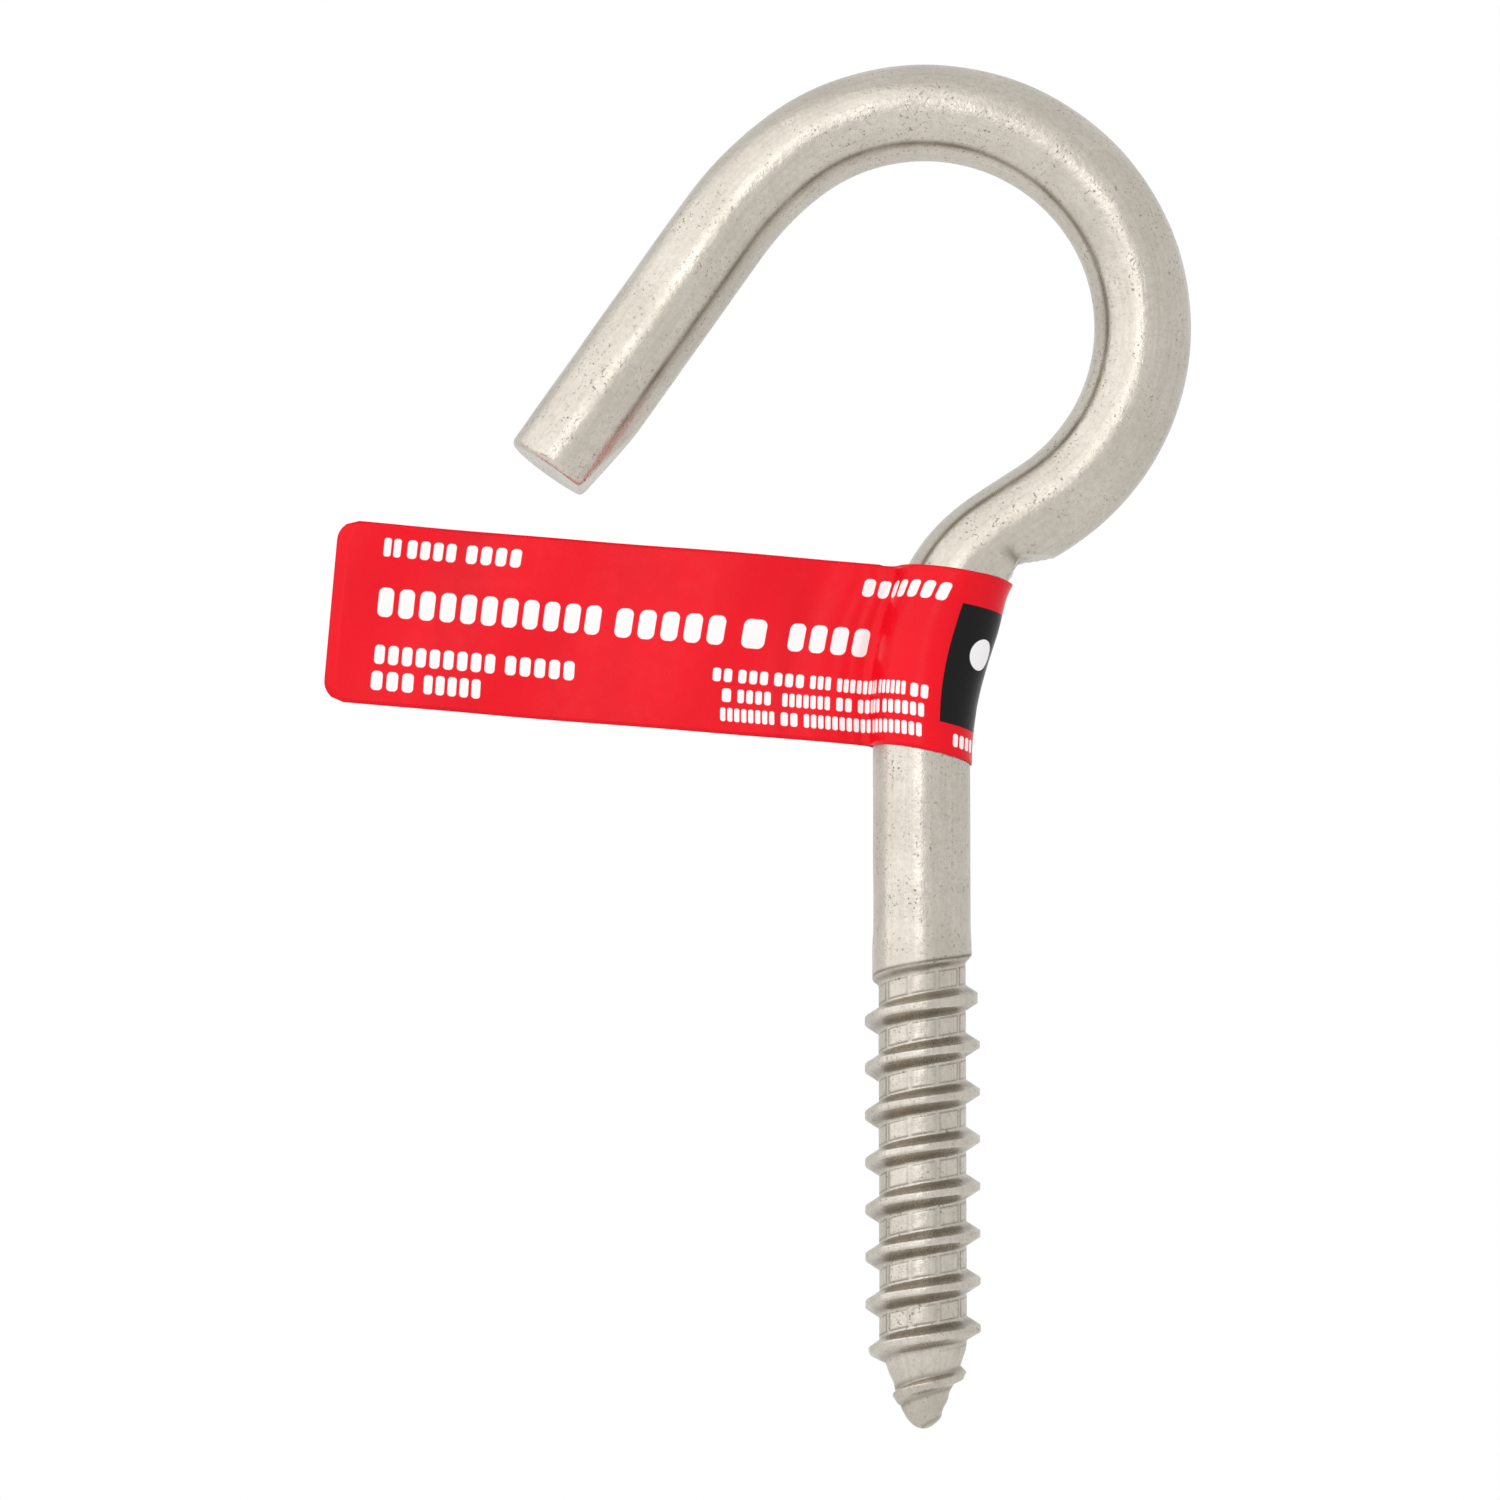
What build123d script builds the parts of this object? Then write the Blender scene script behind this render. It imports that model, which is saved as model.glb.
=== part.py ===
"""Clothesline screw hook: one bent, thread-rolled steel rod with a strip label folded round its neck.

Lengths are in millimetres and angles in degrees. +Z runs up the screw's axis, from its point to the bowl.
+X points away from the mouth. The origin is on the axis where the thread begins, at the wood's surface.
"""

import os
from math import cos, radians, sin, tan

from build123d import *

# Steel rod and the path that it is bent along, from the thread's shoulder to the free end
rod_diameter = 7.6
shank_length = 20.6  # straight and plain, above the thread
neck_radius_low = 22.0  # first, easy part of the bend that leads off the axis
neck_angle_low = 24.0
neck_radius_high = 11.2  # second, tighter part of the same bend
neck_angle_high = 33.0
throat_length = 4.3  # short straight between the neck and the bowl
bowl_radius = 16.95  # centreline of the bowl
bowl_angle = 186.0
leg_bend_radius = 27.5  # where the bowl opens out into the leg
leg_bend_angle = 16.0
leg_length = 23.25
free_end_rounding = 0.5

# Dent that the bending tool leaves inside the neck
dent_depth = 1.1
dent_width = 4.2

# Rolled wood thread, right-hand, single start
thread_length = 34.6  # shoulder to the end of the point
thread_pitch = 3.63
thread_diameter = 8.9
root_diameter = 6.8
crest_width = 0.45
flank_angle = 31.0  # each flank, from a plane square to the axis
ridge_tail = 2.4  # the ridge ends this far above the end of the point
ridge_turn = -164.0  # where it ends, counted round the axis from +X
run_out_length = 2.1  # the ridge sinks back into the root over this height
run_out_gap = 0.2  # and ends this far below the shoulder
run_out_sink = 0.2  # with its end buried this deep
point_length = 6.3
nose_diameter = 2.5
nose_rounding = 0.6
point_ridge_height = 0.45  # what is left of the ridge on the cone
ridge_burial = 1.0  # how far the ridge's section reaches inside the root
crest_trim = 0.2  # how far it reaches past the crest before it is trimmed

# Label: one strip of film round the neck, its two ends stuck together as a flag
label_width = 14.2
label_reach = 46.3  # from the screw's axis to the flag's free end
label_rise = 4.2  # middle of the strip, above the start of the bend, where it crosses the axis
label_slope = 4.8  # the free end hangs higher than the neck
label_corner = 1.6
film_thickness = 0.15
glue_gap = 0.05

os.makedirs("parts", exist_ok=True)

rod_radius = rod_diameter / 2
crest_radius = thread_diameter / 2
root_radius = root_diameter / 2
nose_radius = nose_diameter / 2
point_start = point_length - thread_length
label_height = shank_length + label_rise
slope_cos, slope_sin = cos(radians(label_slope)), sin(radians(label_slope))

# Centreline of the whole rod: straight runs and the arcs that join them
with BuildLine(Plane.XZ) as centreline:
    shank = Line((0, 0), (0, shank_length))
    neck_low = JernArc(shank @ 1, shank % 1, neck_radius_low, -neck_angle_low)
    neck_high = JernArc(neck_low @ 1, neck_low % 1, neck_radius_high, -neck_angle_high)
    throat = PolarLine(neck_high @ 1, throat_length, direction=neck_high % 1)
    bowl = JernArc(throat @ 1, throat % 1, bowl_radius, bowl_angle)
    leg_bend = JernArc(bowl @ 1, bowl % 1, leg_bend_radius, leg_bend_angle)
    leg = PolarLine(leg_bend @ 1, leg_length, direction=leg_bend % 1)

# Ridge of the thread: a trapezoid carried along a helix, from the point up to the shoulder
flank_slope = tan(radians(flank_angle))
base_radius = root_radius - ridge_burial
peak_radius = crest_radius + crest_trim
peak_half = crest_width / 2 - crest_trim * flank_slope
base_half = peak_half + (peak_radius - base_radius) * flank_slope
ridge_start = ridge_tail - thread_length
clear = thread_diameter  # how far the trimming cut reaches outside the ridge

# Rings that are turned off the ridge, as (radius, height) corners
below, outside, above = -thread_length - clear, crest_radius + clear, clear
crest_ring = ((crest_radius, below), (outside, below), (outside, above), (crest_radius, above))
cone_ring = (
    (root_radius + point_ridge_height, point_start - point_ridge_height),
    (outside, point_start + clear),
    (outside, below),
    (0, below),
    (0, -thread_length),
    (nose_radius + point_ridge_height, -thread_length),
)
run_out_ring = (
    (0, -run_out_gap),
    (root_radius - run_out_sink, -run_out_gap),
    (crest_radius, -run_out_gap - run_out_length),
    (outside, -run_out_gap - run_out_length),
    (outside, above),
    (0, above),
)

with BuildPart() as ridge:
    with BuildLine() as helix:
        Helix(thread_pitch, -run_out_gap - ridge_start, root_radius, (0, 0, ridge_start))
    with BuildSketch(Plane.XZ):
        with BuildLine():
            Polyline(
                (base_radius, ridge_start - base_half),
                (peak_radius, ridge_start - peak_half),
                (peak_radius, ridge_start + peak_half),
                (base_radius, ridge_start + base_half),
                close=True,
            )
        make_face()
    sweep(path=helix.wires()[0], is_frenet=True)
    # Its crest is turned true, and it dies away down the cone and below the shoulder
    for corners in (crest_ring, cone_ring, run_out_ring):
        with BuildSketch(Plane.XZ):
            with BuildLine():
                Polyline(*corners, close=True)
            make_face()
        revolve(axis=Axis.Z, mode=Mode.SUBTRACT)

# Threaded end: the root, its cone and blunt nose, and the ridge wound on them
with BuildPart() as threaded_end:
    with BuildSketch(Plane.XZ):
        with BuildLine():
            Polyline(
                (0, rod_radius),
                (root_radius, rod_radius),
                (root_radius, point_start),
                (nose_radius, -thread_length),
                (0, -thread_length),
                close=True,
            )
        make_face()
        nose_corner = vertices().sort_by_distance((nose_radius, 0, -thread_length))[0]
        fillet(nose_corner, nose_rounding)
    revolve(axis=Axis.Z)
    add(ridge.part, rotation=(0, 0, ridge_turn))

# Hook: the bent rod and its threaded end, all one piece of steel
with BuildPart() as hook:
    with BuildSketch(Plane.XY):
        Circle(rod_radius)
    sweep(path=centreline.wires()[0])
    free_end = hook.faces().sort_by_distance(leg @ 1)[0]
    fillet(free_end.edges(), free_end_rounding)
    add(threaded_end.part)

    # The dent is a V across the inner side of the neck, square to the rod
    dent_tangent = neck_high % 1
    dent_inward = Vector(dent_tangent.Z, 0, -dent_tangent.X)
    dent_origin = (neck_high @ 1) + dent_inward * rod_radius
    with BuildSketch(Plane(origin=dent_origin, x_dir=dent_tangent, z_dir=(0, -1, 0))):
        with BuildLine():
            Polyline(
                (-dent_width / 2, 0), (0, dent_depth), (dent_width / 2, 0), (0, -dent_depth), close=True
            )
        make_face()
    extrude(amount=rod_radius, both=True, mode=Mode.SUBTRACT)

# Flag label: a sleeve of film round the neck and the flat flag that its two ends make
with BuildPart() as flag_label:
    sleeve_base = shank_length - label_width
    sleeve_start = Plane.XY.offset(sleeve_base)
    with BuildLine(Plane.XZ) as sleeve_line:
        Line((0, sleeve_base), (0, shank_length))
        add(neck_low)
        add(neck_high)
    with BuildSketch(sleeve_start):
        Circle(rod_radius + glue_gap + film_thickness)
    sweep(path=sleeve_line.wires()[0])
    with BuildSketch(Plane.XZ):
        with Locations((-label_reach / 2, label_height)):
            Rectangle(label_reach, 2 * label_width)
    extrude(amount=film_thickness, both=True)

    # Cut to the strip's outline: a tilted band with rounded corners at the free end
    strip_plane = Plane(origin=(0, 0, label_height), x_dir=(slope_cos, 0, -slope_sin), z_dir=(0, -1, 0))
    with BuildSketch(strip_plane) as strip:
        with Locations((-label_reach * slope_cos, 0)):
            Rectangle(label_reach + bowl_radius, label_width, align=(Align.MIN, Align.CENTER))
        fillet(strip.vertices().group_by(Axis.X)[0], label_corner)
    extrude(amount=rod_diameter, both=True, mode=Mode.INTERSECT)

    # Room for the rod
    with BuildSketch(sleeve_start):
        Circle(rod_radius + glue_gap)
    sweep(path=sleeve_line.wires()[0], mode=Mode.SUBTRACT)

hook.part.label = "hook"
flag_label.part.label = "flag_label"
export_step(hook.part, "parts/hook.step")
export_step(flag_label.part, "parts/flag_label.step")
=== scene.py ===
"""Looks of the clothesline screw hook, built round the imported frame.

Lengths are in metres. +Z runs up the screw's axis, and +X points away from the mouth.
"""

import math

import bpy
import numpy as np
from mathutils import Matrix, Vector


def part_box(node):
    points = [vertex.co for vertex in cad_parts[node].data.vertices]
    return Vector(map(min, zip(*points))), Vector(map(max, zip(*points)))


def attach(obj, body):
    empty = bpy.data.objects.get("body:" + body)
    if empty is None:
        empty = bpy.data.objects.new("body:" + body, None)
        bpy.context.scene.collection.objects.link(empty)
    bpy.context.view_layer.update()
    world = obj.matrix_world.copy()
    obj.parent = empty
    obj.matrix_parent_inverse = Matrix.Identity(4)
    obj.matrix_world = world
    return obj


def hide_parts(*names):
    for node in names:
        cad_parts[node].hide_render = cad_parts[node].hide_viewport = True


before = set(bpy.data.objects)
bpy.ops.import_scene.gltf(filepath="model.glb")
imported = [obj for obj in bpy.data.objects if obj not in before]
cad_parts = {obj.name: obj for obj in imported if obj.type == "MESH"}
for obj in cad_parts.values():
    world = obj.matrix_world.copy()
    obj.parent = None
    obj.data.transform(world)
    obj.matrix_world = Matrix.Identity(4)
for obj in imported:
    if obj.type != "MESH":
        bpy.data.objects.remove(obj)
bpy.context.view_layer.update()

# ---------------------------------------------------------------------------------------------
# Hook. One stainless bar, cut to length, bent cold round a former into an open bowl, and rolled
# between dies into a coarse right-hand wood thread with a blunt cone point. It is tumbled to a
# soft satin, and keeps fine pits and the marks of the bending tool and the dies. Shade in the
# thread's grooves and the dent's crease, and dark reflections inside the bowl, are painted into its colour.
# ---------------------------------------------------------------------------------------------

MM = 0.001
THREAD_LENGTH = -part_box("hook")[0][2]  # the shoulder of the thread is at z = 0
ROD_RADIUS = 3.77 * MM
RUNS = (  # length of each run of the centreline above the shoulder, and the angle that it turns through
    (20.6 * MM, 0.0),
    (22.0 * MM * math.radians(24.0), -24.0),
    (11.2 * MM * math.radians(33.0), -33.0),
    (4.3 * MM, 0.0),
    (16.95 * MM * math.radians(186.0), 186.0),
    (27.5 * MM * math.radians(16.0), 16.0),
    (23.25 * MM, 0.0),
)
BEND_EASE = 0.7 * MM  # cold bends run into each other over about this length


def centreline(step):
    """Stations along the rod, their x and z, and the heading there: the heading changes evenly along each
    run, is smoothed a little where two runs meet, and its cosine and sine are summed to give x and z."""
    length = np.cumsum([0.0] + [run[0] for run in RUNS])
    heading = np.radians(90.0 + np.cumsum([0.0] + [run[1] for run in RUNS]))
    s = np.arange(-THREAD_LENGTH - 4 * BEND_EASE, length[-1] + 4 * BEND_EASE, step)
    raw = np.interp(s, length, heading)
    reach = np.arange(-3 * BEND_EASE, 3 * BEND_EASE + step / 2, step)
    weights = np.exp(-0.5 * (reach / BEND_EASE) ** 2)
    pad = len(reach) // 2
    smooth = np.convolve(np.pad(raw, pad, mode="edge"), weights / weights.sum(), mode="valid")[: len(s)]
    midway = (smooth[1:] + smooth[:-1]) / 2
    x = np.concatenate([[0.0], np.cumsum(np.cos(midway)) * step])
    z = np.concatenate([[0.0], np.cumsum(np.sin(midway)) * step])
    return s, x - np.interp(0.0, s, x), z - np.interp(0.0, s, z), smooth


PATH_S, PATH_X, PATH_Z, PATH_HEADING = centreline(0.02 * MM)
ROD_END = sum(run[0] for run in RUNS)

PITCH = 3.63 * MM
CREST_RADIUS = 4.43 * MM
ROOT_RADIUS = 3.4 * MM
CREST_HALF = 0.24 * MM  # half the width of the crest's flat
FLANK_HEIGHT = 0.64 * MM  # of each flank, measured along the axis
CREST_FILLET, ROOT_FILLET, CONE_FILLET = 0.02 * MM, 0.16 * MM, 0.25 * MM
FIRST_CREST = -1.51 * MM  # height of the first crest where it crosses the +x side
RUN_OUT = (0.28, 0.92)  # share of the last turn over which the ridge sinks into the shank
RUN_OUT_CREST = 0.16 * MM  # the crest's flat is this much wider there
RUN_OUT_FLANK = 1.7  # and the flanks end up this many times as high
GROOVE_END = (0.55, 0.92)  # share of the last turn over which the groove fills up to the shank
POINT_LENGTH = 6.3 * MM
NOSE_RADIUS = 1.0 * MM
POINT_HEIGHTS = np.array([-34.6, -33.4, -32.3, -31.4, -30.5, -28.8, -27.2]) * MM
POINT_CRESTS = np.array([0.8, 1.5, 2.25, 2.75, 3.2, 4.15, 4.45]) * MM  # most that the ridge reaches there
SHOULDER_FLARE = 0.07 * MM  # the shank is this much thicker at the shoulder
FLARE_LOW, FLARE_HIGH = 2.2 * MM, 4.2 * MM  # heights between which that fades out

DIE_FLATS = 10  # the dies leave this many flats round the root, in line from turn to turn
FLAT_DEPTH = 0.05  # in millimetres, in the middle of a flat
OUTLINE_DEPTH = 0.045  # in millimetres, of the line round a flat
FLAT_ACROSS = (0.82 * MM, 0.98 * MM)  # a flat ends between these distances from its middle, round the root
FLAT_UP = (0.58 * MM, 0.72 * MM)  # and between these along the axis
MARKS_FADE = (-29.5 * MM, -27.5 * MM)  # heights over which the marks of the dies fade out above the point
OUTLINE_SHADE_WIDTH = 0.06 * MM
FLANK_SHADE_PLACE, FLANK_SHADE_WIDTH = 0.68 * MM, 0.24 * MM  # painted shade on the flanks lies this far from the crest line, over this width


def soft_step(value, low, high):
    """0 below low, 1 above high, and a smooth rise between them."""
    t = np.clip((value - low) / (high - low), 0.0, 1.0)
    return t * t * (3.0 - 2.0 * t)


def bell(value, middle, width):
    """1 at the middle, fading away to both sides over about that width, as the exponential of minus the
    squared distance in widths."""
    return np.exp(-(((value - middle) / width) ** 2))


def soft_max(a, b, width):
    """The larger of two radii, with a fillet of about that width where they meet."""
    h = np.clip(0.5 + 0.5 * (a - b) / width, 0.0, 1.0)
    return b + (a - b) * h + width * h * (1.0 - h)


def plain_radius(z):
    """Radius of the plain rod: even all along, with a slight flare just above the thread."""
    return ROD_RADIUS + SHOULDER_FLARE * soft_step(-z, -FLARE_HIGH, -FLARE_LOW)


def threaded_radius(angle, z):
    """Radius of the threaded end at each angle and height, and how dark it is painted there, from 0 to 1:
    painted shade in its grooves, and darker towards the point. A crest line climbs one pitch a turn. The
    radius is the root, with its die flats, filleted into a trapezoid ridge at the nearest line below and
    above.
    Angle and height together give the turn: in the last turn the ridge sinks, the groove fades out into the
    shank, and towards the point both root and crest follow the cone."""
    turn = (z - FIRST_CREST) / PITCH - angle / (2 * math.pi)
    below = np.floor(turn)
    cone = NOSE_RADIUS + (z + THREAD_LENGTH) * (ROOT_RADIUS - NOSE_RADIUS) / POINT_LENGTH
    core = -soft_max(-cone, np.full_like(cone, -ROOT_RADIUS), CONE_FILLET)
    envelope = np.interp(z, POINT_HEIGHTS, POINT_CRESTS)

    flat = (angle * DIE_FLATS / (2 * math.pi)) % 1.0 - 0.5
    up_groove = (turn - below - 0.5) * PITCH
    across = np.abs(flat) * 2 * math.pi * ROOT_RADIUS / DIE_FLATS
    on_flat = soft_step(-across, -FLAT_ACROSS[1], -FLAT_ACROSS[0])
    on_flat = on_flat * soft_step(-np.abs(up_groove), -FLAT_UP[1], -FLAT_UP[0])
    marked = soft_step(z, *MARKS_FADE)
    root = core - (FLAT_DEPTH * (1.0 - (2 * flat) ** 2) + OUTLINE_DEPTH * (1.0 - on_flat)) * MM * marked

    def line(n):
        """Ridge of crest line n: full height, then lower and blunter where the roll runs out."""
        along = (angle + math.pi) / (2 * math.pi) + n
        crest = CREST_RADIUS - (CREST_RADIUS - ROD_RADIUS - SHOULDER_FLARE) * soft_step(along, *RUN_OUT)
        crest = np.minimum(crest, envelope)
        off = np.abs(turn - n) * PITCH - CREST_HALF - RUN_OUT_CREST * soft_step(along, 0.1, 0.5)
        gentle = 1.0 + (RUN_OUT_FLANK - 1.0) * soft_step(along, 0.95, 1.0)
        return crest - np.maximum(off, 0.0) * (CREST_RADIUS - ROOT_RADIUS) / (FLANK_HEIGHT * gentle)

    ridge = soft_max(line(below), line(below + 1), CREST_FILLET)
    along_groove = (angle + math.pi) / (2 * math.pi) + below
    filled = soft_step(along_groove, *GROOVE_END)
    root = root + (ROD_RADIUS - root) * filled
    cut = soft_max(root, ridge, ROOT_FILLET)

    # Painted shade where the grooves would be in shade: dark bands on the flanks beside the ridge, dark lines
    # round each flat, and a dark line on the step where the groove starts under the shank. The point is also
    # painted darker towards its tip.
    to_line = np.minimum(turn - below, 1.0 - turn + below) * PITCH
    painted_dark = bell(to_line, FLANK_SHADE_PLACE, FLANK_SHADE_WIDTH) * (1.0 - filled)
    upright = bell(across, 0.9 * MM, OUTLINE_SHADE_WIDTH) * (np.abs(up_groove) < 0.7 * MM)
    level = bell(np.abs(up_groove), 0.66 * MM, OUTLINE_SHADE_WIDTH) * (across < 0.92 * MM)
    outline_shade = np.maximum(upright, level)
    dark = np.maximum(0.6 * painted_dark, 0.8 * outline_shade * marked * (1.0 - filled))
    dark = np.maximum(dark, 0.2 * soft_step(-z, 29.5 * MM, 33.0 * MM))
    dark = np.maximum(dark, bell(turn * PITCH, 0.93 * PITCH, 0.11 * MM) * (1.0 - filled))
    return np.where(turn > 1.0, plain_radius(z), cut), np.where(turn > 1.0, 0.0, dark)


NECK_START = RUNS[0][0]
DENT = NECK_START + RUNS[1][0] + RUNS[2][0] + 0.2 * MM  # place along the rod where the bending tool dented it
NECK_PLACES = DENT + np.array([-9.0, -5.5, -2.5, -1.0, -0.1, 0.6, 2.7]) * MM
NECK_DEPTHS = np.array([0.0, 0.3, 0.5, 0.85, 1.4, 1.2, 0.0]) * MM
TIP_PLACES = ROD_END + np.array([-6.6, 0.0]) * MM
TIP_DEPTHS = np.array([0.0, 0.95]) * MM
# Pressed flats: the hollow side of the neck up to the dent, and the inside of the leg's tip. Seen from the
# front, side 1 is on the right of the path as it goes on from the shank, and side -1 on its left
FLATS = ((1, NECK_PLACES, NECK_DEPTHS), (-1, TIP_PLACES, TIP_DEPTHS))

# A painted dark reflection runs as a line along each side of the bowl's inside. Its angle from the innermost
# line of the bend is the first of these at both ends of the bowl, and the second in the bowl's middle
DARK_REFLECTION_ANGLES = (math.radians(44.0), math.radians(36.0))
DARK_REFLECTION_MIDDLE, DARK_REFLECTION_SPREAD = DENT + 34.0 * MM, 15.0 * MM
DARK_REFLECTION_WIDTH = 0.25 * MM

PLAIN_FROM = 3.0 * MM  # above this height the rod is plain, and its rows are further apart
THREAD_ROWS, ROD_ROWS = 0.09 * MM, 0.5 * MM  # spacing of the rows
COLUMNS = 132
NOSE_ROUND, END_ROUND = 1.05 * MM, 0.55 * MM
CAP_RINGS = np.array([0.9, 0.66, 0.4, 0.16])  # rings across the cut end, as shares of its radius
POINT_LUMPS, WAVINESS = 0.05 * MM, 0.009 * MM  # the point is lumpy from the dies, the rod very nearly true


def rod_surface():
    """Rows of rings along the rod. Each ring is square to the path, with the radius of the thread or of the
    plain rod, a little waviness, and two pressed flats, which are chords across one side. The first rows
    round the nose and the last rows round the cut end, and both ends close on a single point. Painted dark
    reflections run as lines along both sides of the bend, and painted shade lies in the crease across the
    dent."""
    nose_turn = np.linspace(0.0, math.pi / 2, 9)[1:]
    end_turn = np.linspace(0.0, math.pi / 2, 8)
    s = np.concatenate([
        -THREAD_LENGTH + NOSE_ROUND * (1 - np.cos(nose_turn)),
        np.arange(-THREAD_LENGTH + NOSE_ROUND + THREAD_ROWS, PLAIN_FROM, THREAD_ROWS),
        np.arange(PLAIN_FROM, ROD_END - END_ROUND - ROD_ROWS / 2, ROD_ROWS),
        ROD_END - END_ROUND + END_ROUND * np.sin(end_turn),
        np.full(len(CAP_RINGS), ROD_END),
    ])
    shrink = np.ones_like(s)
    shrink[: len(nose_turn)] = np.sin(nose_turn)
    angle = np.linspace(-math.pi, math.pi, COLUMNS, endpoint=False)
    a, h = np.meshgrid(angle, s)
    h_mm = h / MM

    radius, dark = threaded_radius(a, h)
    radius = np.where(h > PLAIN_FROM, plain_radius(h), radius)
    lumps = np.sin(a * 2 + 1.1 + h_mm * 1.7) * np.sin(h_mm * 3.1 + a) + 0.7 * np.sin(a * 5 - h_mm * 4.3)
    radius = radius + POINT_LUMPS * lumps * soft_step(-h, 28.5 * MM, 32.5 * MM)
    radius = radius * shrink[:, None]
    wave = np.sin(a * 2 + h_mm * 0.31) * np.sin(h_mm * 0.53 + 1.3) + 0.6 * np.sin(a * 3 - h_mm * 0.87 + 0.4)
    radius = radius + WAVINESS * wave * shrink[:, None]

    for side, places, depths in FLATS:
        chord = (ROD_RADIUS - np.interp(h, places, depths)) / np.maximum(side * np.cos(a), 0.2)
        radius = np.where(h > PLAIN_FROM, np.minimum(radius, chord), radius)

    caps = len(CAP_RINGS)
    inset = np.zeros_like(s)
    inset[-caps - len(end_turn) : -caps] = END_ROUND * (1 - np.cos(end_turn))
    radius = radius - inset[:, None]
    radius[-caps:] = radius[-caps - 1] * CAP_RINGS[:, None]

    # Painted reflection: a dark line along each side of the bowl's inside, fading out near the neck and the
    # cut end
    tightest = bell(h, DARK_REFLECTION_MIDDLE, DARK_REFLECTION_SPREAD)
    edge = math.pi - (DARK_REFLECTION_ANGLES[0] + (DARK_REFLECTION_ANGLES[1] - DARK_REFLECTION_ANGLES[0]) * tightest)
    dark_reflection = bell(np.abs(a), edge, DARK_REFLECTION_WIDTH / ROD_RADIUS)
    bent = soft_step(h, NECK_START + 4.0 * MM, NECK_START + 9.0 * MM)
    bent = bent * (1.0 - soft_step(h, ROD_END - 9.0 * MM, ROD_END))
    uneven = 0.85 + 0.15 * np.sin(h_mm * 0.9 + 0.7) * np.sin(h_mm * 0.37)
    dark = np.where(h > PLAIN_FROM, dark_reflection * bent * uneven, dark)
    # Painted shade in the crease across the dent, on the side of the neck's pressed flat
    crease = bell(h + 0.3 * radius * np.abs(np.sin(a)), DENT + 0.4 * MM, 0.4 * MM)
    dark = np.maximum(dark, 0.8 * crease * soft_step(np.cos(a), 0.22, 0.5))

    centre_x, centre_z = np.interp(s, PATH_S, PATH_X)[:, None], np.interp(s, PATH_S, PATH_Z)[:, None]
    heading = np.interp(s, PATH_S, PATH_HEADING)[:, None]
    out = radius * np.cos(a)
    points = np.stack(
        [centre_x + out * np.sin(heading), radius * np.sin(a), centre_z - out * np.cos(heading)], axis=-1
    )
    nose = [0.0, 0.0, -THREAD_LENGTH]
    cut_end = [centre_x[-1, 0], 0.0, centre_z[-1, 0]]
    return points, s, a * ROD_RADIUS, dark, nose, cut_end


def closed_tube(name, points, s, around, dark, first, last):
    """A mesh from rings of points, joined ring to ring and closed at both ends by fans. Its UV map gives the
    distance round the rod and along it, in metres, and carries on past the seam without a jump back. The
    painted shade and painted reflection are kept on its points."""
    rows, columns = points.shape[:2]
    vertices = np.concatenate([points.reshape(-1, 3), [first], [last]])
    i, j = np.meshgrid(np.arange(rows - 1), np.arange(columns), indexing="ij")
    k = (j + 1) % columns
    here, above = i * columns, (i + 1) * columns
    quads = np.stack([here + j, here + k, above + k, above + j], axis=-1).reshape(-1, 4)
    j = np.arange(columns)
    k = (j + 1) % columns
    tail = (rows - 1) * columns
    start_fan = np.stack([k, j, np.full(columns, rows * columns)], axis=-1)
    end_fan = np.stack([tail + j, tail + k, np.full(columns, rows * columns + 1)], axis=-1)
    mesh = bpy.data.meshes.new(name)
    mesh.from_pydata(vertices.tolist(), [], quads.tolist() + start_fan.tolist() + end_fan.tolist())

    u = np.concatenate([around.reshape(-1), [0.0, 0.0]])
    v = np.concatenate([np.repeat(s, columns), [s[0], s[-1]]])
    corner = np.empty(len(mesh.loops), dtype=np.int32)
    mesh.loops.foreach_get("vertex_index", corner)
    uv = np.stack([u[corner], v[corner]], axis=-1)
    at_seam = np.tile(np.arange(columns) == columns - 1, rows - 1)
    quad_uv = uv[: len(quads) * 4].reshape(-1, 4, 2)
    quad_uv[at_seam, 1:3, 0] += 2 * math.pi * ROD_RADIUS
    mesh.uv_layers.new(name="along_rod")
    mesh.uv_layers["along_rod"].uv.foreach_set("vector", uv.astype(np.float32).ravel())
    shade = mesh.attributes.new("painted_shade_and_reflection", "FLOAT", "POINT")
    shade.data.foreach_set("value", np.concatenate([dark.ravel(), [0.0, 0.0]]).astype(np.float32))
    mesh.shade_smooth()
    return mesh


hook = bpy.data.objects.new("bent_rod_hook", closed_tube("bent_rod_hook", *rod_surface()))
bpy.context.scene.collection.objects.link(hook)

PALE_STEEL, WARM_STEEL = (0.625, 0.585, 0.520, 1.0), (0.555, 0.515, 0.450, 1.0)  # cloudy patches of both
DRAWN_STEEL, MOTTLED_STEEL = (0.43, 0.395, 0.335, 1.0), (0.40, 0.37, 0.315, 1.0)
# The pits' own colour, and the colour painted for shade and reflection
PITTED_STEEL, PAINTED_DARK_STEEL = (0.25, 0.225, 0.19, 1.0), (0.175, 0.150, 0.115, 1.0)


def new_group(name, inputs, outputs):
    """An empty shader node group, with its sockets, its input node and its output node."""
    group = bpy.data.node_groups.new(name, "ShaderNodeTree")
    for title, kind, default in inputs:
        socket = group.interface.new_socket(title, in_out="INPUT", socket_type=kind)
        if default is not None:
            socket.default_value = default
    for title, kind in outputs:
        group.interface.new_socket(title, in_out="OUTPUT", socket_type=kind)
    return group, group.nodes.new("NodeGroupInput"), group.nodes.new("NodeGroupOutput")


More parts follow.
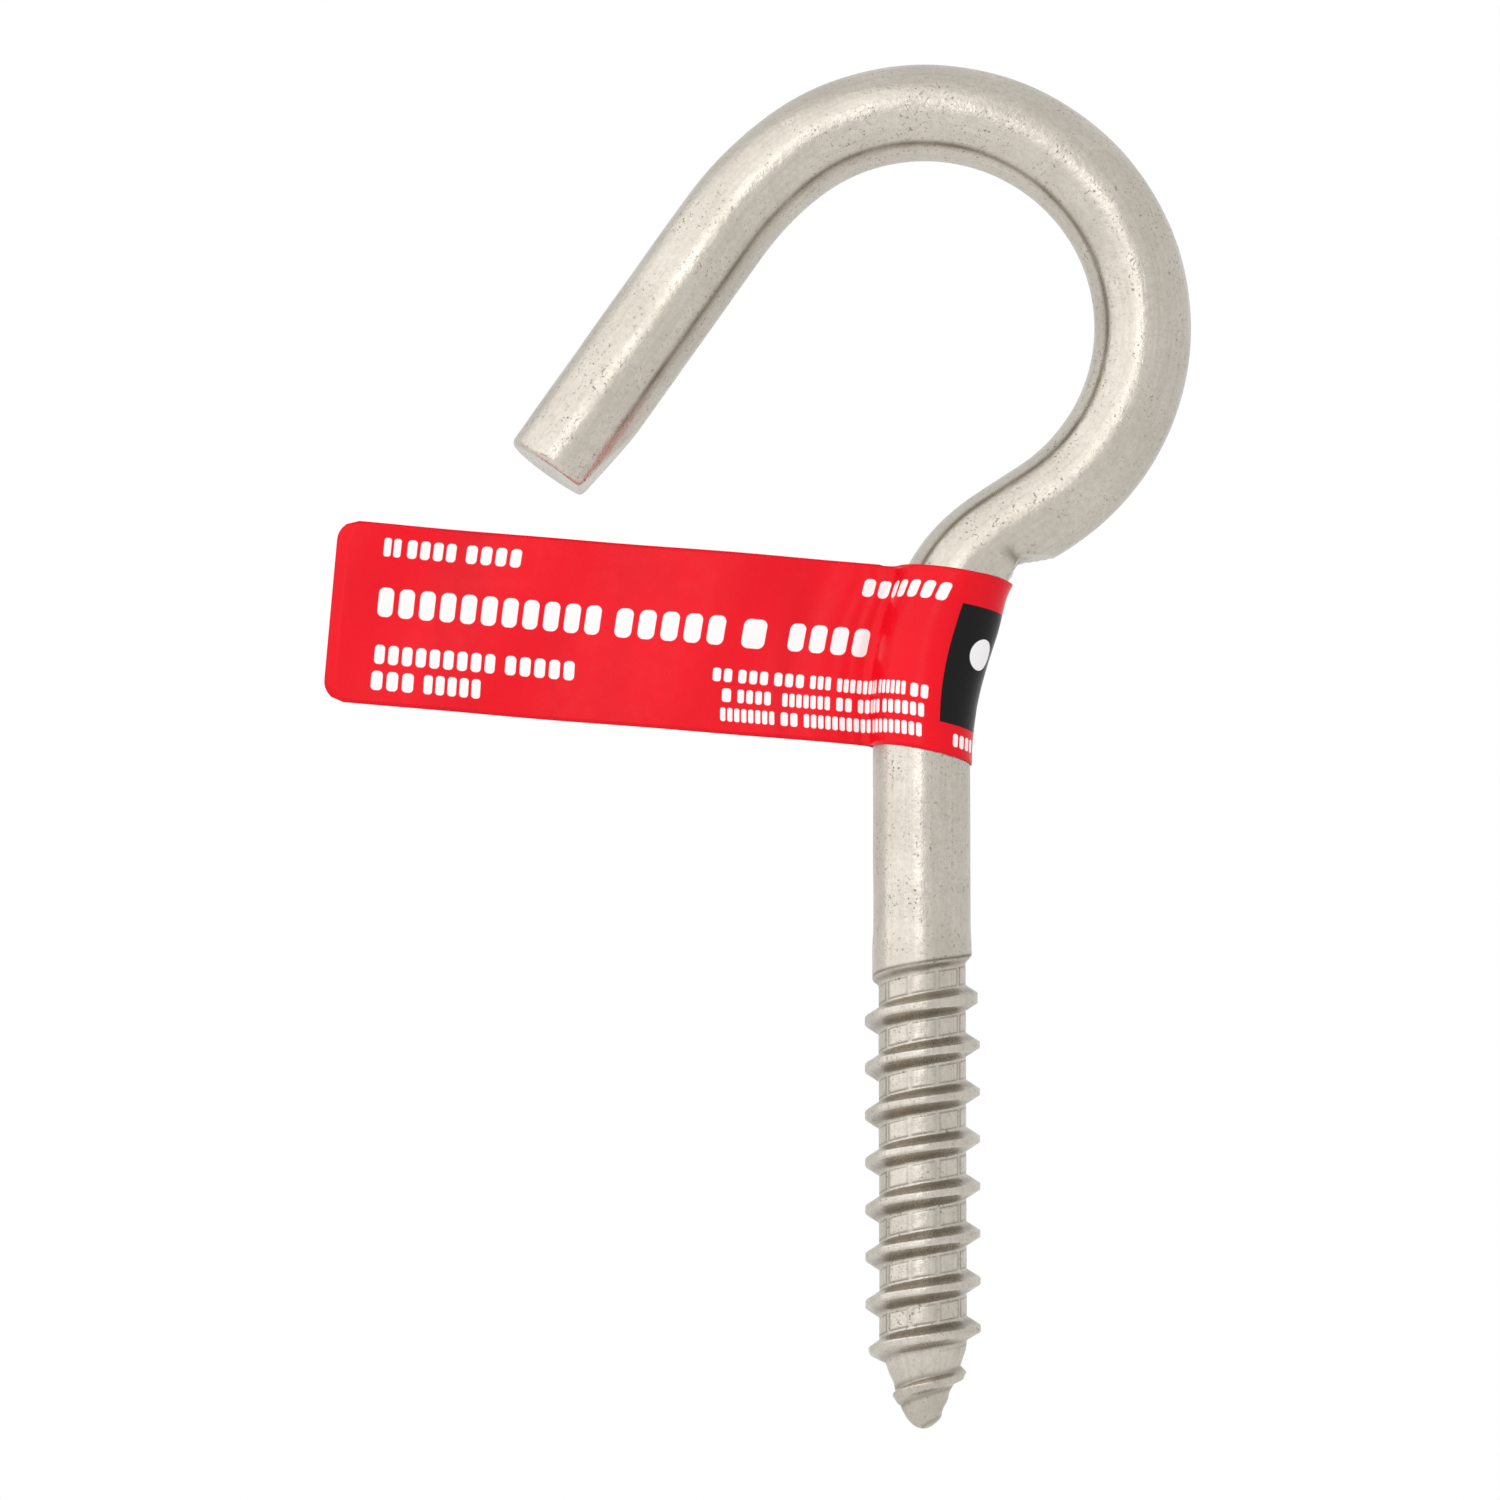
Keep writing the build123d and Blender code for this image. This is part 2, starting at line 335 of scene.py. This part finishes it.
def put(tree, kind, **settings):
    """Adds a node and sets its properties, or its inputs where a setting is the name of one."""
    node = tree.nodes.new(kind)
    for key, value in settings.items():
        if hasattr(node, key):
            setattr(node, key, value)
        else:
            node.inputs[key.replace("_", " ")].default_value = value
    return node


def math_node(tree, operation, a, b=None, clamp=False):
    """A Math node on two links or numbers, and its result."""
    node = tree.nodes.new("ShaderNodeMath")
    node.operation = operation
    node.use_clamp = clamp
    for socket, value in zip(node.inputs, (a, b)):
        if isinstance(value, (int, float)):
            socket.default_value = value
        elif value is not None:
            tree.links.new(value, socket)
    return node.outputs[0]


def ramp(tree, value, low, high, out_low=0.0, out_high=1.0):
    """Maps a value between low and high to the range out_low to out_high, held at both ends."""
    node = tree.nodes.new("ShaderNodeMapRange")
    node.interpolation_type = "SMOOTHSTEP"
    node.clamp = True
    tree.links.new(value, node.inputs["Value"])
    for title, number in (("From Min", low), ("From Max", high), ("To Min", out_low), ("To Max", out_high)):
        node.inputs[title].default_value = number
    return node.outputs["Result"]


def mix_colour(tree, factor, a, b):
    """A Mix node between two colours, each a link or a value."""
    node = tree.nodes.new("ShaderNodeMix")
    node.data_type = "RGBA"
    tree.links.new(factor, node.inputs[0])
    for socket, value in ((node.inputs[6], a), (node.inputs[7], b)):
        if isinstance(value, tuple):
            socket.default_value = value
        else:
            tree.links.new(value, socket)
    return node.outputs[2]


def steel_group():
    """Tumbled stainless: cloudy patches of two steels, fine pits in drifts, faint draw lines along the bar,
    and the colour painted for shade and reflection.
    Puts out a colour, a roughness and a height. Noise scales are per metre, so 1000 is about 1 mm a lump."""
    group, entry, leave = new_group(
        "tumbled_steel",
        [
            ("Place", "NodeSocketVector", None),
            ("Along", "NodeSocketVector", None),
            ("Painted Dark", "NodeSocketFloat", 0.0),
        ],
        [("Colour", "NodeSocketColor"), ("Roughness", "NodeSocketFloat"), ("Height", "NodeSocketFloat")],
    )
    place, along, painted_dark = (entry.outputs[n] for n in ("Place", "Along", "Painted Dark"))

    def noise(scale, detail, vector=place, rough=0.55):
        node = put(group, "ShaderNodeTexNoise", Scale=scale, Detail=detail, Roughness=rough)
        group.links.new(vector, node.inputs["Vector"])
        return node.outputs["Fac"]

    cloud = noise(170.0, 4.0)
    drift = noise(330.0, 3.0)
    speck = noise(4200.0, 2.0)
    grain = noise(9000.0, 2.0)
    mottle = noise(2300.0, 3.0, place, 0.7)
    dimple = noise(1500.0, 3.0)
    stretch = put(group, "ShaderNodeMapping")
    stretch.inputs["Scale"].default_value = (3600.0, 120.0, 1.0)
    group.links.new(along, stretch.inputs["Vector"])
    draw = noise(1.0, 3.0, stretch.outputs["Vector"])

    in_drift = ramp(group, drift, 0.36, 0.66, 0.12, 1.0)
    pit = math_node(group, "MULTIPLY", ramp(group, speck, 0.585, 0.72), in_drift)
    colour = mix_colour(group, ramp(group, cloud, 0.3, 0.7), PALE_STEEL, WARM_STEEL)
    colour = mix_colour(group, ramp(group, draw, 0.35, 0.75, 0.0, 0.35), colour, DRAWN_STEEL)
    colour = mix_colour(group, ramp(group, mottle, 0.35, 0.75, 0.0, 0.4), colour, MOTTLED_STEEL)
    colour = mix_colour(group, pit, colour, PITTED_STEEL)
    # Painted shade and painted reflection from the mesh, a little uneven with the drifts
    dark = math_node(group, "MULTIPLY", painted_dark, ramp(group, drift, 0.2, 0.6, 0.75, 1.0))
    group.links.new(mix_colour(group, dark, colour, PAINTED_DARK_STEEL), leave.inputs["Colour"])

    cloudy = ramp(group, cloud, 0.25, 0.75, 0.22, 0.31)
    rough = math_node(group, "ADD", cloudy, ramp(group, grain, 0.3, 0.7, 0.0, 0.06))
    rough = math_node(group, "ADD", rough, math_node(group, "MULTIPLY", pit, 0.25), clamp=True)
    group.links.new(rough, leave.inputs["Roughness"])

    height = math_node(group, "MULTIPLY", draw, 0.35)
    height = math_node(group, "ADD", height, math_node(group, "MULTIPLY", dimple, 1.9))
    height = math_node(group, "SUBTRACT", height, math_node(group, "MULTIPLY", mottle, 0.5))
    height = math_node(group, "ADD", height, math_node(group, "MULTIPLY", grain, 0.18))
    height = math_node(group, "SUBTRACT", height, math_node(group, "MULTIPLY", pit, 0.9))
    group.links.new(height, leave.inputs["Height"])
    return group


def steel_material():
    """The hook's steel: the tumbled group read in object space, and along the bar from the UV map."""
    material = bpy.data.materials.new("tumbled_stainless")
    material.use_nodes = True
    tree = material.node_tree
    shader = tree.nodes["Principled BSDF"]
    shader.inputs["Metallic"].default_value = 1.0
    place = tree.nodes.new("ShaderNodeTexCoord")
    along = put(tree, "ShaderNodeUVMap", uv_map="along_rod")
    steel = tree.nodes.new("ShaderNodeGroup")
    steel.node_tree = steel_group()
    tree.links.new(place.outputs["Object"], steel.inputs["Place"])
    tree.links.new(along.outputs["UV"], steel.inputs["Along"])
    # Painted shade and painted reflection, kept on the mesh's points
    painted_dark = put(tree, "ShaderNodeAttribute", attribute_name="painted_shade_and_reflection")
    tree.links.new(painted_dark.outputs["Fac"], steel.inputs["Painted Dark"])
    tree.links.new(steel.outputs["Colour"], shader.inputs["Base Color"])
    tree.links.new(steel.outputs["Roughness"], shader.inputs["Roughness"])
    bump = put(tree, "ShaderNodeBump", Strength=0.35, Distance=0.00006)
    tree.links.new(steel.outputs["Height"], bump.inputs["Height"])
    tree.links.new(bump.outputs["Normal"], shader.inputs["Normal"])
    return material


hook.data.materials.append(steel_material())
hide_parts("hook")
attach(hook, "root")

# ---------------------------------------------------------------------------------------------
# Flag label. One strip of glossy printed film with glue on its back, wrapped round the neck just
# where it starts to bend, its two ends pressed together as a flag. The film can't follow the bend,
# so it bridges the hollow side of the neck, and it creases a little where the ends come together.
# ---------------------------------------------------------------------------------------------

STRIP_WIDTH = 14.2 * MM
STRIP_SLOPE = math.radians(4.8)
STRIP_REACH = -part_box("flag_label")[0][0] - 0.28 * MM  # a little short, to keep the sloped end in its box
STRIP_MIDDLE = 24.8 * MM  # height of the strip's middle where it would cross the axis
END_INSET = 0.2 * MM
CORNER = 1.6 * MM
FILM = 0.1 * MM
WRAP_RADIUS = ROD_RADIUS + 0.05 * MM + FILM / 2  # the film's middle, with its glue under it
LEAF = 0.06 * MM  # the middle of each leaf from the middle of the flag
FOLD_RADIUS = 1.0 * MM
WRAP_DROP = 0.8 * MM  # the strip sits this much lower on the far side of the rod
WRAP_LOW = 17.3 * MM  # height of the strip's lower edge there
BRIDGE, BRIDGE_HEIGHT = 0.95 * MM, 14.2 * MM  # most that the film stands off the bend, and over what height
PRESS, PRESS_HEIGHTS = 0.30 * MM, (26.5 * MM, 31.0 * MM)  # the film follows the flat on the neck
FLAG_COLUMNS, FOLD_COLUMNS, WRAP_COLUMNS, LABEL_ROWS = 110, 12, 84, 44
BELOW_BOWL = PATH_S < ROD_END / 4  # the part of the path on which height rises all the way


def half_plan():
    """Front half of the strip seen from above, for a rod at the origin: x and y from the flag's free end, in
    a straight leaf, a fold that curves the other way, and an arc round the rod to its far side. The first
    value says how far along the leaf a point is, and is 1 on the fold and the arc."""
    centre_x = -math.sqrt((WRAP_RADIUS + FOLD_RADIUS) ** 2 - (LEAF + FOLD_RADIUS) ** 2)
    centre_y = -(LEAF + FOLD_RADIUS)
    touch = math.atan2(-centre_y, -centre_x)
    leaf = np.linspace(0.0, 1.0, FLAG_COLUMNS, endpoint=False) ** 0.8
    fold = np.linspace(math.pi / 2, touch, FOLD_COLUMNS, endpoint=False)
    wrap = np.linspace(math.pi + touch, 2 * math.pi, WRAP_COLUMNS)
    fold_x, fold_y = centre_x + FOLD_RADIUS * np.cos(fold), centre_y + FOLD_RADIUS * np.sin(fold)
    x = np.concatenate([np.full(FLAG_COLUMNS, centre_x), fold_x, WRAP_RADIUS * np.cos(wrap)])
    y = np.concatenate([np.full(FLAG_COLUMNS, -LEAF), fold_y, WRAP_RADIUS * np.sin(wrap)])
    share = np.concatenate([leaf, np.ones(FOLD_COLUMNS + WRAP_COLUMNS)])
    return share, x, y


def label_surface():
    """Rows across the strip by columns along it. Heights come from the strip's slope, less a drop that grows
    towards the far side of the rod. At each height the plan is moved to the rod's centre there, stretched by
    its lean, and pushed out on the far side where the film bridges the bend, less where it is pressed onto
    the neck's flat. The leaves carry a shallow wave and fine upright creases beside the fold."""
    share, x, y = half_plan()
    share, x = np.concatenate([share, share[-2::-1]]), np.concatenate([x, x[-2::-1]])
    y = np.concatenate([y, -y[-2::-1]])
    across = np.linspace(-0.5, 0.5, LABEL_ROWS) * STRIP_WIDTH
    share, across = np.meshgrid(share, across)
    x = np.broadcast_to(x, share.shape)
    y = np.broadcast_to(y, share.shape)

    over = np.maximum(np.abs(across) - (STRIP_WIDTH / 2 - CORNER), 0.0)
    inset = CORNER - np.sqrt(np.maximum(CORNER**2 - over**2, 0.0))
    free_x = -STRIP_REACH + END_INSET + inset + across * math.sin(STRIP_SLOPE)
    level = STRIP_MIDDLE + across / math.cos(STRIP_SLOPE)
    round_rod = np.clip((x + WRAP_RADIUS) / (2 * WRAP_RADIUS), 0.0, 1.0)
    z = level - math.tan(STRIP_SLOPE) * x - WRAP_DROP * round_rod**1.3
    centre = np.interp(z, PATH_Z[BELOW_BOWL], PATH_X[BELOW_BOWL])
    lean = np.interp(z, PATH_Z[BELOW_BOWL], PATH_HEADING[BELOW_BOWL])
    z = z - math.tan(STRIP_SLOPE) * centre
    rise = np.clip((z - WRAP_LOW) / BRIDGE_HEIGHT, 0.0, 1.0)
    stand_off = BRIDGE * np.sin(math.pi * rise**1.5) - PRESS * soft_step(z, *PRESS_HEIGHTS)
    wrapped = centre + x / np.sin(lean) + np.maximum(x, 0.0) / WRAP_RADIUS * stand_off
    px = free_x + (wrapped - free_x) * share
    pz = np.where(share < 1.0, level - math.tan(STRIP_SLOPE) * px, z)

    # Creases and wave in millimetres, by the distance from the fold, which is negative on the flag
    from_fold = (px - (centre - WRAP_RADIUS)) / MM
    crease = bell(from_fold, -1.2, 1.6) * np.sin(from_fold * 5.2 + across / MM * 0.16)
    crease = crease + 0.5 * bell(from_fold, -5.0, 3.0) * np.sin(from_fold * 1.9 + 0.6)
    wave = 0.28 * np.sin(px / MM * 0.17 + 0.5) + 0.12 * np.sin(px / MM * 0.43 - across / MM * 0.22)
    on_leaf = soft_step(-from_fold, 0.0, 3.0)
    py = y + (0.05 * crease * soft_step(-from_fold, -0.2, 0.6) + wave * on_leaf) * MM
    return np.stack([px, py, pz], axis=-1), across


def strip_mesh(name, points, across):
    """A mesh from a grid of points. Its UV map is the flat strip, in metres: along it from the front leaf's
    free end, measured on the middle row, and across it from the lower edge."""
    rows, columns = points.shape[:2]
    i, j = np.meshgrid(np.arange(rows - 1), np.arange(columns - 1), indexing="ij")
    corner = i * columns + j
    quads = np.stack([corner, corner + 1, corner + columns + 1, corner + columns], axis=-1).reshape(-1, 4)
    mesh = bpy.data.meshes.new(name)
    mesh.from_pydata(points.reshape(-1, 3).tolist(), [], quads.tolist())
    middle = points[rows // 2]
    along = np.concatenate([[0.0], np.cumsum(np.linalg.norm(np.diff(middle, axis=0), axis=1))])
    # Rows that start late, at the rounded corners, have that added to the middle row's distance
    late = points[:, 0, 0] - points[rows // 2, 0, 0] - across[:, 0] * math.sin(STRIP_SLOPE)
    fade = np.clip(1.0 - along / (0.5 * STRIP_REACH), 0.0, 1.0)
    u = along[None, :] + late[:, None] * fade[None, :]
    uv = np.stack([u, across + STRIP_WIDTH / 2], axis=-1).reshape(-1, 2)
    index = np.empty(len(mesh.loops), dtype=np.int32)
    mesh.loops.foreach_get("vertex_index", index)
    mesh.uv_layers.new(name="flat_strip")
    mesh.uv_layers["flat_strip"].uv.foreach_set("vector", uv[index].astype(np.float32).ravel())
    mesh.shade_smooth()
    return mesh, float(along[-1])


label_points, label_across = label_surface()
label_mesh, strip_length = strip_mesh("label_film", label_points, label_across)
label = bpy.data.objects.new("label_film", label_mesh)
bpy.context.scene.collection.objects.link(label)
solid = label.modifiers.new("film_thickness", "SOLIDIFY")
solid.thickness = FILM
solid.offset = 0.0

# Print, in millimetres along and up the flat strip. Each word is a row of plain blocks: both its ends, the
# height of its middle, the blocks' height, and how many there are
WORDS = (
    (3.6, 4.9, 12.35, 1.45, 2), (5.4, 9.1, 12.35, 1.45, 4), (9.9, 14.1, 12.35, 1.45, 4),
    (3.6, 20.9, 8.05, 2.3, 11), (22.1, 30.6, 8.0, 2.3, 5),
    (32.0, 33.8, 7.95, 2.3, 1), (35.6, 41.8, 7.95, 2.2, 4),
    (3.7, 13.1, 3.95, 1.5, 9), (13.9, 19.3, 3.95, 1.5, 5),
    (3.6, 6.9, 1.9, 1.5, 3), (7.7, 12.1, 1.9, 1.5, 5),
    (40.3, 48.4, 12.3, 1.4, 7),
    (30.1, 31.6, 4.55, 1.05, 2), (32.1, 34.4, 4.55, 1.05, 3), (34.9, 37.2, 4.55, 1.05, 3),
    (37.7, 39.3, 4.55, 1.05, 3), (39.8, 43.8, 4.5, 1.05, 8),
    (44.2, 46.9, 4.5, 1.05, 6), (47.3, 48.7, 4.45, 1.05, 2),
    (30.9, 31.6, 3.0, 1.05, 1), (32.1, 34.7, 3.0, 1.05, 4), (35.6, 39.3, 3.0, 1.05, 7),
    (39.8, 41.0, 3.0, 1.05, 2), (41.5, 44.4, 3.0, 1.05, 5), (44.8, 48.4, 3.0, 1.05, 6),
    (30.8, 35.0, 1.5, 1.05, 8), (35.5, 36.8, 1.5, 1.05, 2),
    (37.3, 42.7, 1.5, 1.05, 10), (43.2, 48.2, 1.45, 1.05, 9),
    (51.2, 54.0, 1.25, 1.0, 4),
)
BLOCK_GAP = 0.27  # share of a block's pitch
BLOCK_CORNER = 0.3  # share of a block's shorter side
BLACK_BLOCK = (49.8, 66.0, 7.05, 9.3)
ROUND_MARK = (51.6, 54.0, 8.2, 2.4)
PRINT_EDGE = 0.03  # the ink's edge is this soft
RED_FILM, DEEPER_RED = (0.80, 0.003, 0.013, 1.0), (0.74, 0.003, 0.012, 1.0)
# Red of the painted shade in the film's upright waves
WAVE_SHADE_RED = (0.62, 0.002, 0.012, 1.0)
BLACK_INK, WHITE_INK = (0.006, 0.006, 0.006, 1.0), (0.86, 0.84, 0.84, 1.0)


def block_row_group():
    """Mask of a row of equal rounded blocks on the flat strip: 1 inside, 0 outside, with a thin soft edge.
    The place along the row picks the nearest block, and the distance outside a box shrunk by the corner
    radius, less that radius, is compared with the edge's width."""
    titles = ("U", "V", "Start", "Pitch", "Last", "Middle V", "Half Length", "Half Height", "Corner")
    group, entry, leave = new_group(
        "printed_block_row", [(n, "NodeSocketFloat", 0.0) for n in titles], [("Mask", "NodeSocketFloat")]
    )
    get = entry.outputs
    from_start = math_node(group, "SUBTRACT", get["U"], get["Start"])
    number = math_node(group, "FLOOR", math_node(group, "DIVIDE", from_start, get["Pitch"]))
    number = math_node(group, "MAXIMUM", math_node(group, "MINIMUM", number, get["Last"]), 0.0)
    middle = math_node(group, "MULTIPLY", math_node(group, "ADD", number, 0.5), get["Pitch"])

    def outside(offset, half):
        inner = math_node(group, "SUBTRACT", get[half], get["Corner"])
        past = math_node(group, "SUBTRACT", math_node(group, "ABSOLUTE", offset), inner)
        return math_node(group, "MAXIMUM", past, 0.0)

    du = outside(math_node(group, "SUBTRACT", from_start, middle), "Half Length")
    dv = outside(math_node(group, "SUBTRACT", get["V"], get["Middle V"]), "Half Height")
    along_squared, up_squared = math_node(group, "MULTIPLY", du, du), math_node(group, "MULTIPLY", dv, dv)
    square = math_node(group, "ADD", along_squared, up_squared)
    distance = math_node(group, "SUBTRACT", math_node(group, "SQRT", square), get["Corner"])
    group.links.new(ramp(group, distance, -PRINT_EDGE, PRINT_EDGE, 1.0, 0.0), leave.inputs["Mask"])
    return group


def label_material():
    """Glossy film: red with a cloudy tone and upright streaks of painted shade for the film's waves, printed
    with a black block, a round mark and rows of white blocks, all as masks on the flat strip. The gloss is
    faintly orange-peeled."""
    material = bpy.data.materials.new("printed_gloss_film")
    material.use_nodes = True
    tree = material.node_tree
    shader = tree.nodes["Principled BSDF"]
    shader.inputs["Specular IOR Level"].default_value = 0.15
    strip = put(tree, "ShaderNodeUVMap", uv_map="flat_strip")
    scale = put(tree, "ShaderNodeVectorMath", operation="SCALE")
    tree.links.new(strip.outputs["UV"], scale.inputs[0])
    scale.inputs["Scale"].default_value = 1.0 / MM
    split = tree.nodes.new("ShaderNodeSeparateXYZ")
    tree.links.new(scale.outputs["Vector"], split.inputs[0])
    group = block_row_group()

    def block_row(u0, u1, v, height, count, gap, corner):
        """Mask of one row of blocks, from u0 to u1 along the strip."""
        pitch = (u1 - u0) / (count - gap)
        node = tree.nodes.new("ShaderNodeGroup")
        node.node_tree = group
        tree.links.new(split.outputs["X"], node.inputs["U"])
        tree.links.new(split.outputs["Y"], node.inputs["V"])
        for title, value in (
            ("Start", u0 - pitch * gap / 2), ("Pitch", pitch), ("Last", count - 1.0), ("Middle V", v),
            ("Half Length", pitch * (1 - gap) / 2), ("Half Height", height / 2), ("Corner", corner),
        ):
            node.inputs[title].default_value = value
        return node.outputs["Mask"]

    white = block_row(*ROUND_MARK, 1, 0.0, ROUND_MARK[3] / 2)
    for u0, u1, v, height, count in WORDS:
        corner = BLOCK_CORNER * min(height, (u1 - u0) / count)
        white = math_node(tree, "MAXIMUM", white, block_row(u0, u1, v, height, count, BLOCK_GAP, corner))
    black = block_row(*BLACK_BLOCK, 1, 0.0, 0.1)

    place = tree.nodes.new("ShaderNodeTexCoord")
    cloud = put(tree, "ShaderNodeTexNoise", Scale=120.0, Detail=3.0)
    fine = put(tree, "ShaderNodeTexNoise", Scale=900.0, Detail=2.0)
    for node in (cloud, fine):
        tree.links.new(place.outputs["Object"], node.inputs["Vector"])
    red = mix_colour(tree, ramp(tree, cloud.outputs["Fac"], 0.3, 0.7), RED_FILM, DEEPER_RED)
    # Painted shade: darker upright streaks for the film's waves
    upright = put(tree, "ShaderNodeMapping")
    upright.inputs["Scale"].default_value = (0.16, 0.015, 1.0)
    tree.links.new(scale.outputs["Vector"], upright.inputs["Vector"])
    wave_shade = put(tree, "ShaderNodeTexNoise", Scale=1.0, Detail=3.0)
    tree.links.new(upright.outputs["Vector"], wave_shade.inputs["Vector"])
    red = mix_colour(tree, ramp(tree, wave_shade.outputs["Fac"], 0.45, 0.7, 0.0, 0.6), red, WAVE_SHADE_RED)
    ink = mix_colour(tree, black, red, BLACK_INK)
    ink = mix_colour(tree, white, ink, WHITE_INK)
    tree.links.new(ink, shader.inputs["Base Color"])
    rough = ramp(tree, fine.outputs["Fac"], 0.3, 0.7, 0.24, 0.34)
    tree.links.new(rough, shader.inputs["Roughness"])
    bump = put(tree, "ShaderNodeBump", Strength=0.12, Distance=0.00005)
    tree.links.new(fine.outputs["Fac"], bump.inputs["Height"])
    tree.links.new(bump.outputs["Normal"], shader.inputs["Normal"])
    return material


label.data.materials.append(label_material())
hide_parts("flag_label")
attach(label, "root")

# ---------------------------------------------------------------------------------------------
# Studio. A pale floor below the hook, which is held up in the air, a white surround, a large soft
# light from the upper left, and a small one in front beside the camera.
# ---------------------------------------------------------------------------------------------

FLOOR_Z, FLOOR_HALF = -0.16, 3.0
floor_corners = [(x * FLOOR_HALF, y * FLOOR_HALF, FLOOR_Z) for x, y in ((-1, -1), (1, -1), (1, 1), (-1, 1))]
floor_mesh = bpy.data.meshes.new("studio_floor")
floor_mesh.from_pydata(floor_corners, [], [(0, 1, 2, 3)])
floor = bpy.data.objects.new("studio_floor", floor_mesh)
bpy.context.scene.collection.objects.link(floor)
floor_paint = bpy.data.materials.new("pale_floor")
floor_paint.use_nodes = True
floor_shader = floor_paint.node_tree.nodes["Principled BSDF"]
floor_shader.inputs["Base Color"].default_value = (0.93, 0.93, 0.93, 1.0)
floor_shader.inputs["Roughness"].default_value = 0.9
floor.data.materials.append(floor_paint)

# The surround is a little dimmer where it lights the steel than where it is the plain white background
world = bpy.data.worlds.new("soft_studio")
bpy.context.scene.world = world
world.use_nodes = True
sky = world.node_tree
surround = sky.nodes["Background"]
surround.inputs["Color"].default_value = (1.0, 1.0, 1.0, 1.0)
surround.inputs["Strength"].default_value = 0.91
background = sky.nodes.new("ShaderNodeBackground")
background.inputs["Color"].default_value = (1.0, 1.0, 1.0, 1.0)
background.inputs["Strength"].default_value = 1.0
ray = sky.nodes.new("ShaderNodeLightPath")
choose = sky.nodes.new("ShaderNodeMixShader")
sky.links.new(ray.outputs["Is Camera Ray"], choose.inputs[0])
sky.links.new(surround.outputs[0], choose.inputs[1])
sky.links.new(background.outputs[0], choose.inputs[2])
sky.links.new(choose.outputs[0], sky.nodes["World Output"].inputs["Surface"])


def soft_light(name, place, target, size, power):
    """A rectangular area light at place, turned to face target, and itself unseen."""
    lamp = bpy.data.lights.new(name, "AREA")
    lamp.shape = "RECTANGLE"
    lamp.size, lamp.size_y = size
    lamp.energy = power
    piece = bpy.data.objects.new(name, lamp)
    piece.location = place
    way = np.array(target) - np.array(place)
    across, up = math.atan2(way[1], way[0]), math.atan2(way[2], math.hypot(way[0], way[1]))
    piece.rotation_euler = (math.pi / 2 + up, 0.0, across - math.pi / 2)
    piece.visible_camera = False
    bpy.context.scene.collection.objects.link(piece)


MIDDLE = (-0.012, 0.0, 0.02)  # of the hook and its flag
soft_light("softbox_left", (-0.55, -0.45, 0.42), MIDDLE, (1.90, 1.10), 4.0)
soft_light("softbox_front", (-0.10, -0.82, 0.24), MIDDLE, (0.20, 0.40), 0.26)

CAMERA_TURN = math.radians(6.5)  # looks up by this much
CAMERA_AWAY = 0.52
CAMERA_AIM = (-0.01328, 0.01771)  # x and z of the point that it looks at
camera_data = bpy.data.cameras.new("camera")
camera_data.sensor_width = 36.0
camera_data.lens = 161.1
camera_data.clip_start = 0.01
camera = bpy.data.objects.new("camera", camera_data)
away_y, away_z = CAMERA_AWAY * math.cos(CAMERA_TURN), CAMERA_AWAY * math.sin(CAMERA_TURN)
camera.location = (CAMERA_AIM[0], -away_y, CAMERA_AIM[1] - away_z)
camera.rotation_euler = (math.pi / 2 + CAMERA_TURN, 0.0, 0.0)
bpy.context.scene.collection.objects.link(camera)
bpy.context.scene.camera = camera
bpy.context.scene.view_settings.view_transform = "Standard"
